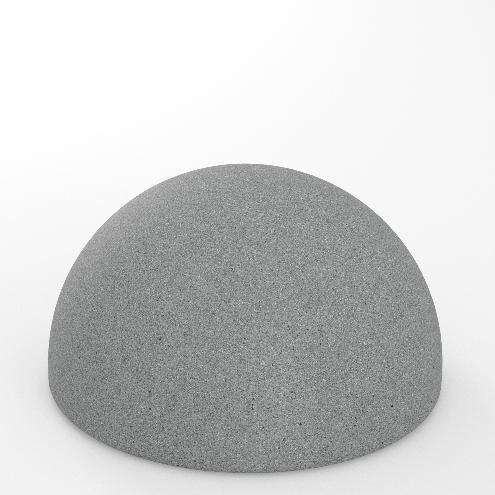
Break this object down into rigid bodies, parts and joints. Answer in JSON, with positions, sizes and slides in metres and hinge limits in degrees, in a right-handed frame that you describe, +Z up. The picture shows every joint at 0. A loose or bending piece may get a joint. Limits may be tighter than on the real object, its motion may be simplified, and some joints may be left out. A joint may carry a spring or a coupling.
{
  "type": "granite dome",
  "caption": "Grey granite half-ball with a short upright band, an eased lower edge and a flat sawn underside, standing free on paving.",
  "frame": {"origin": "middle of the flat sawn underside, on the surface that the stone rests on", "axes": "+Z up through the crown; +Y away from the picture's camera, +X to its right"},
  "size_m": [0.5, 0.5, 0.28],
  "materials": {
    "granite": "matte"
  },
  "bodies": {
    "root": {"granite_dome": "granite"}
  },
  "joints": []
}
